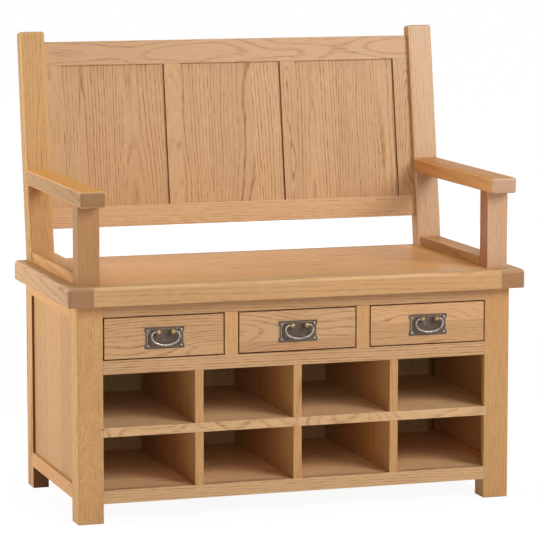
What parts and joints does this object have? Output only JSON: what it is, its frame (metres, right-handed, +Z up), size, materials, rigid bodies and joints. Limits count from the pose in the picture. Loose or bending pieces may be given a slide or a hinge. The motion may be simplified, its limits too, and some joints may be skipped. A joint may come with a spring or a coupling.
{
  "type": "hall bench",
  "caption": "Oak hall bench with a raked panelled back, open arms, inset drawers with drop-bail handles, and open shoe cubbies under the seat.",
  "frame": {"origin": "on the floor, at the middle of the overall box seen from above", "axes": "+X to the right along the bench, +Y from front to back, +Z up"},
  "size_m": [1.05, 0.573, 1.0352],
  "materials": {
    "lacquered_oak": "satin lacquer over lightly stained oak",
    "plain_oak": "planed, unstained",
    "thin_board": "veneered sheet, matt",
    "dark_plate": "dark pewter patina",
    "worn_bail": "rubbed bright",
    "antique_brass": "antique"
  },
  "bodies": {
    "bench": {"back_board": "thin_board", "back_lower_rail": "lacquered_oak", "back_panels": "lacquered_oak", "back_uprights": "lacquered_oak", "bottom_rail": "lacquered_oak", "bottom_shelf": "lacquered_oak", "crest_rail": "lacquered_oak", "drawer_kickers": "plain_oak", "drawer_rail": "lacquered_oak", "drawer_runners": "plain_oak", "drawer_stiles": "lacquered_oak", "dust_panel": "thin_board", "front_left_leg": "lacquered_oak", "front_right_leg": "lacquered_oak", "front_top_rail": "lacquered_oak", "left_arm_post": "lacquered_oak", "left_arm_rail": "lacquered_oak", "left_armrest": "lacquered_oak", "left_back_post": "lacquered_oak", "left_side_bottom_rail": "lacquered_oak", "left_side_panel": "lacquered_oak", "left_side_top_rail": "lacquered_oak", "middle_shelf": "lacquered_oak", "rear_bottom_rail": "lacquered_oak", "rear_left_leg": "lacquered_oak", "rear_right_leg": "lacquered_oak", "rear_top_rail": "lacquered_oak", "right_arm_post": "lacquered_oak", "right_arm_rail": "lacquered_oak", "right_armrest": "lacquered_oak", "right_back_post": "lacquered_oak", "right_side_bottom_rail": "lacquered_oak", "right_side_panel": "lacquered_oak", "right_side_top_rail": "lacquered_oak", "seat_front_edge": "lacquered_oak", "seat_left_end": "lacquered_oak", "seat_panel": "lacquered_oak", "seat_right_end": "lacquered_oak", "shoe_dividers": "lacquered_oak"},
    "left_drawer": {"left_drawer_front": "lacquered_oak", "left_drawer_sides": "plain_oak", "left_drawer_back": "plain_oak", "left_drawer_bottom": "thin_board", "left_handle_plate": "dark_plate", "left_handle_posts": "antique_brass"},
    "left_drawer_bail": {"left_bail": "worn_bail"},
    "middle_drawer": {"middle_drawer_front": "lacquered_oak", "middle_drawer_sides": "plain_oak", "middle_drawer_back": "plain_oak", "middle_drawer_bottom": "thin_board", "middle_handle_plate": "dark_plate", "middle_handle_posts": "antique_brass"},
    "middle_drawer_bail": {"middle_bail": "worn_bail"},
    "right_drawer": {"right_drawer_front": "lacquered_oak", "right_drawer_sides": "plain_oak", "right_drawer_back": "plain_oak", "right_drawer_bottom": "thin_board", "right_handle_plate": "dark_plate", "right_handle_posts": "antique_brass"},
    "right_drawer_bail": {"right_bail": "worn_bail"}
  },
  "joints": [
    {"name": "left_drawer_slide", "type": "slide", "parent": "bench", "child": "left_drawer", "axis": [0, -1, 0], "range_m": [0, 0.28]},
    {"name": "left_bail_swing", "type": "hinge", "parent": "left_drawer", "child": "left_drawer_bail", "pos_m": [-0.30333, -0.26133, 0.4155], "axis": [-1, 0, 0], "range_deg": [-12, 185]},
    {"name": "middle_drawer_slide", "type": "slide", "parent": "bench", "child": "middle_drawer", "axis": [0, -1, 0], "range_m": [0, 0.28]},
    {"name": "middle_bail_swing", "type": "hinge", "parent": "middle_drawer", "child": "middle_drawer_bail", "pos_m": [0, -0.26133, 0.4155], "axis": [-1, 0, 0], "range_deg": [-12, 185]},
    {"name": "right_drawer_slide", "type": "slide", "parent": "bench", "child": "right_drawer", "axis": [0, -1, 0], "range_m": [0, 0.28]},
    {"name": "right_bail_swing", "type": "hinge", "parent": "right_drawer", "child": "right_drawer_bail", "pos_m": [0.30333, -0.26133, 0.4155], "axis": [-1, 0, 0], "range_deg": [-12, 185]}
  ]
}
